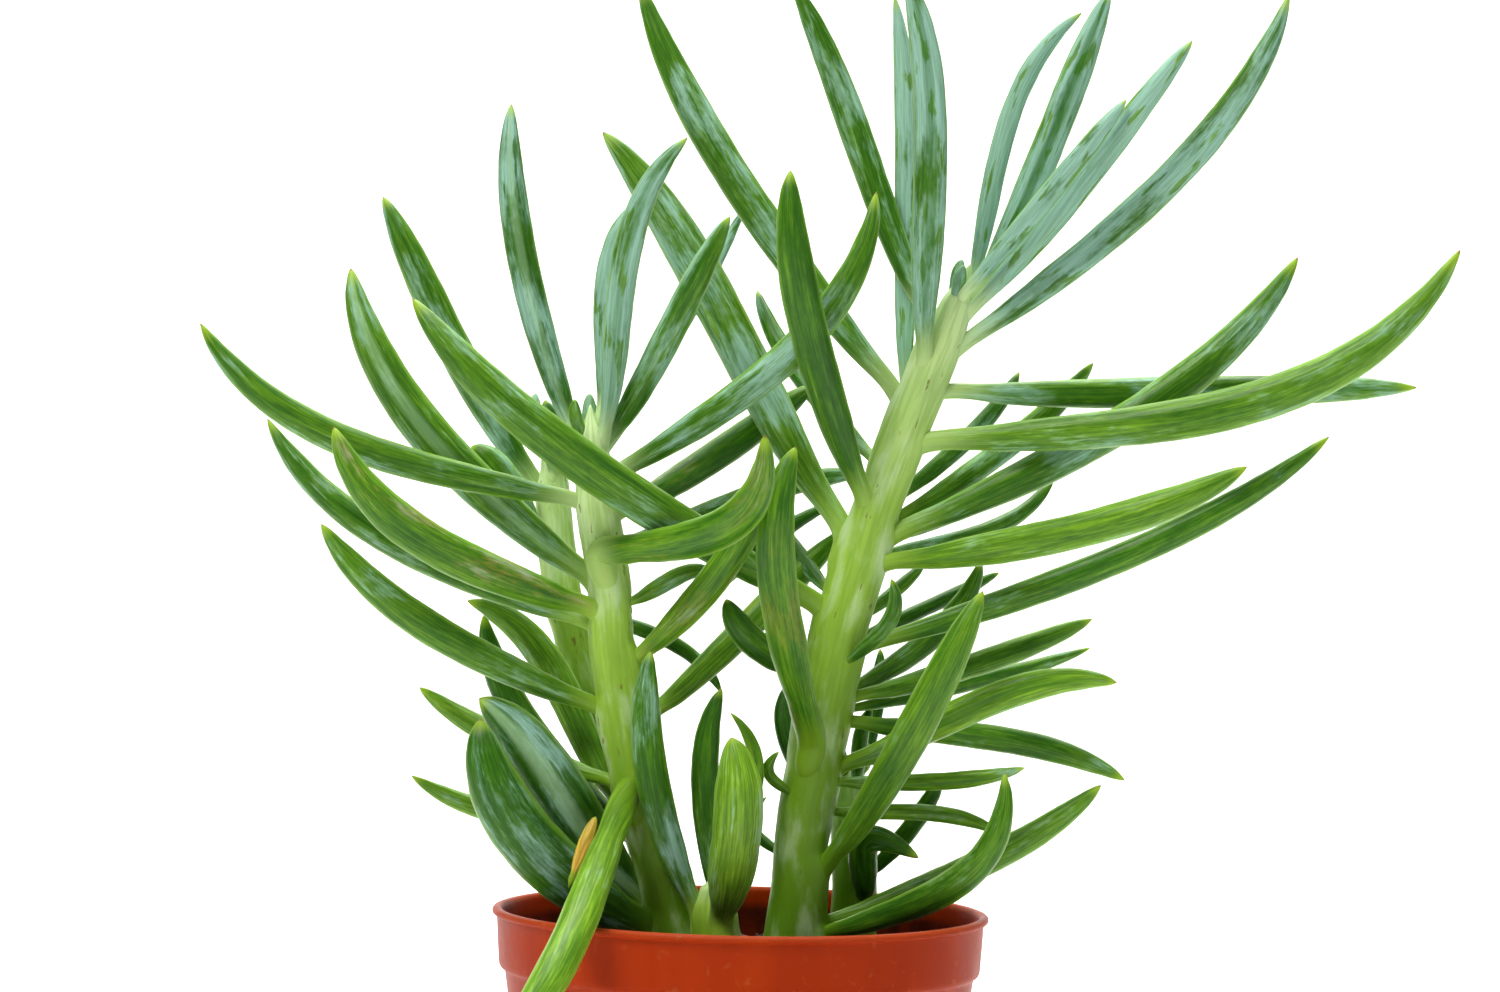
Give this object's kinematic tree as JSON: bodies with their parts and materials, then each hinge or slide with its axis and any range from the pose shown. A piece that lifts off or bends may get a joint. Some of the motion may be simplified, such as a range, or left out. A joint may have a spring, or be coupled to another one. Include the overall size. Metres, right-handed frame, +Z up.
{
  "type": "potted chalk stick",
  "caption": "Succulent with upright stems and long up-curving pointed fleshy leaves, growing in a thin round plastic nursery pot.",
  "frame": {"origin": "centre of the pot's underside", "axes": "+Z up along the pot's axis, +X to the right and -Y to the front as the plant is seen with the taller stem on the right"},
  "size_m": [0.2605, 0.1249, 0.288],
  "materials": {
    "terracotta_plastic": "satin",
    "potting_soil": "matte",
    "stem_skin": "satin",
    "leaf_skin": "satin"
  },
  "bodies": {
    "root": {"back_leaf_01": "leaf_skin", "back_leaf_02": "leaf_skin", "back_stem": "stem_skin", "centre_leaf_01": "leaf_skin", "centre_leaf_02": "leaf_skin", "centre_leaf_03": "leaf_skin", "centre_stem": "stem_skin", "left_leaf_01": "leaf_skin", "left_leaf_02": "leaf_skin", "left_leaf_03": "leaf_skin", "left_leaf_04": "leaf_skin", "left_leaf_05": "leaf_skin", "left_leaf_06": "leaf_skin", "left_leaf_07": "leaf_skin", "left_leaf_08": "leaf_skin", "left_leaf_09": "leaf_skin", "left_leaf_10": "leaf_skin", "left_leaf_11": "leaf_skin", "left_leaf_12": "leaf_skin", "left_leaf_13": "leaf_skin", "left_leaf_14": "leaf_skin", "left_leaf_15": "leaf_skin", "left_leaf_16": "leaf_skin", "left_leaf_17": "leaf_skin", "left_leaf_18": "leaf_skin", "left_leaf_19": "leaf_skin", "left_leaf_20": "leaf_skin", "left_leaf_21": "leaf_skin", "left_stem": "stem_skin", "plastic_pot": "terracotta_plastic", "right_leaf_01": "leaf_skin", "right_leaf_02": "leaf_skin", "right_leaf_03": "leaf_skin", "right_leaf_04": "leaf_skin", "right_leaf_05": "leaf_skin", "right_leaf_06": "leaf_skin", "right_leaf_07": "leaf_skin", "right_leaf_08": "leaf_skin", "right_leaf_09": "leaf_skin", "right_leaf_10": "leaf_skin", "right_leaf_11": "leaf_skin", "right_leaf_12": "leaf_skin", "right_leaf_13": "leaf_skin", "right_leaf_14": "leaf_skin", "right_leaf_15": "leaf_skin", "right_leaf_16": "leaf_skin", "right_leaf_17": "leaf_skin", "right_leaf_18": "leaf_skin", "right_leaf_19": "leaf_skin", "right_leaf_20": "leaf_skin", "right_leaf_21": "leaf_skin", "right_leaf_22": "leaf_skin", "right_leaf_23": "leaf_skin", "right_leaf_24": "leaf_skin", "right_leaf_25": "leaf_skin", "right_leaf_26": "leaf_skin", "right_leaf_27": "leaf_skin", "right_stem": "stem_skin", "shoot_stem": "stem_skin", "soil": "potting_soil"}
  },
  "joints": []
}
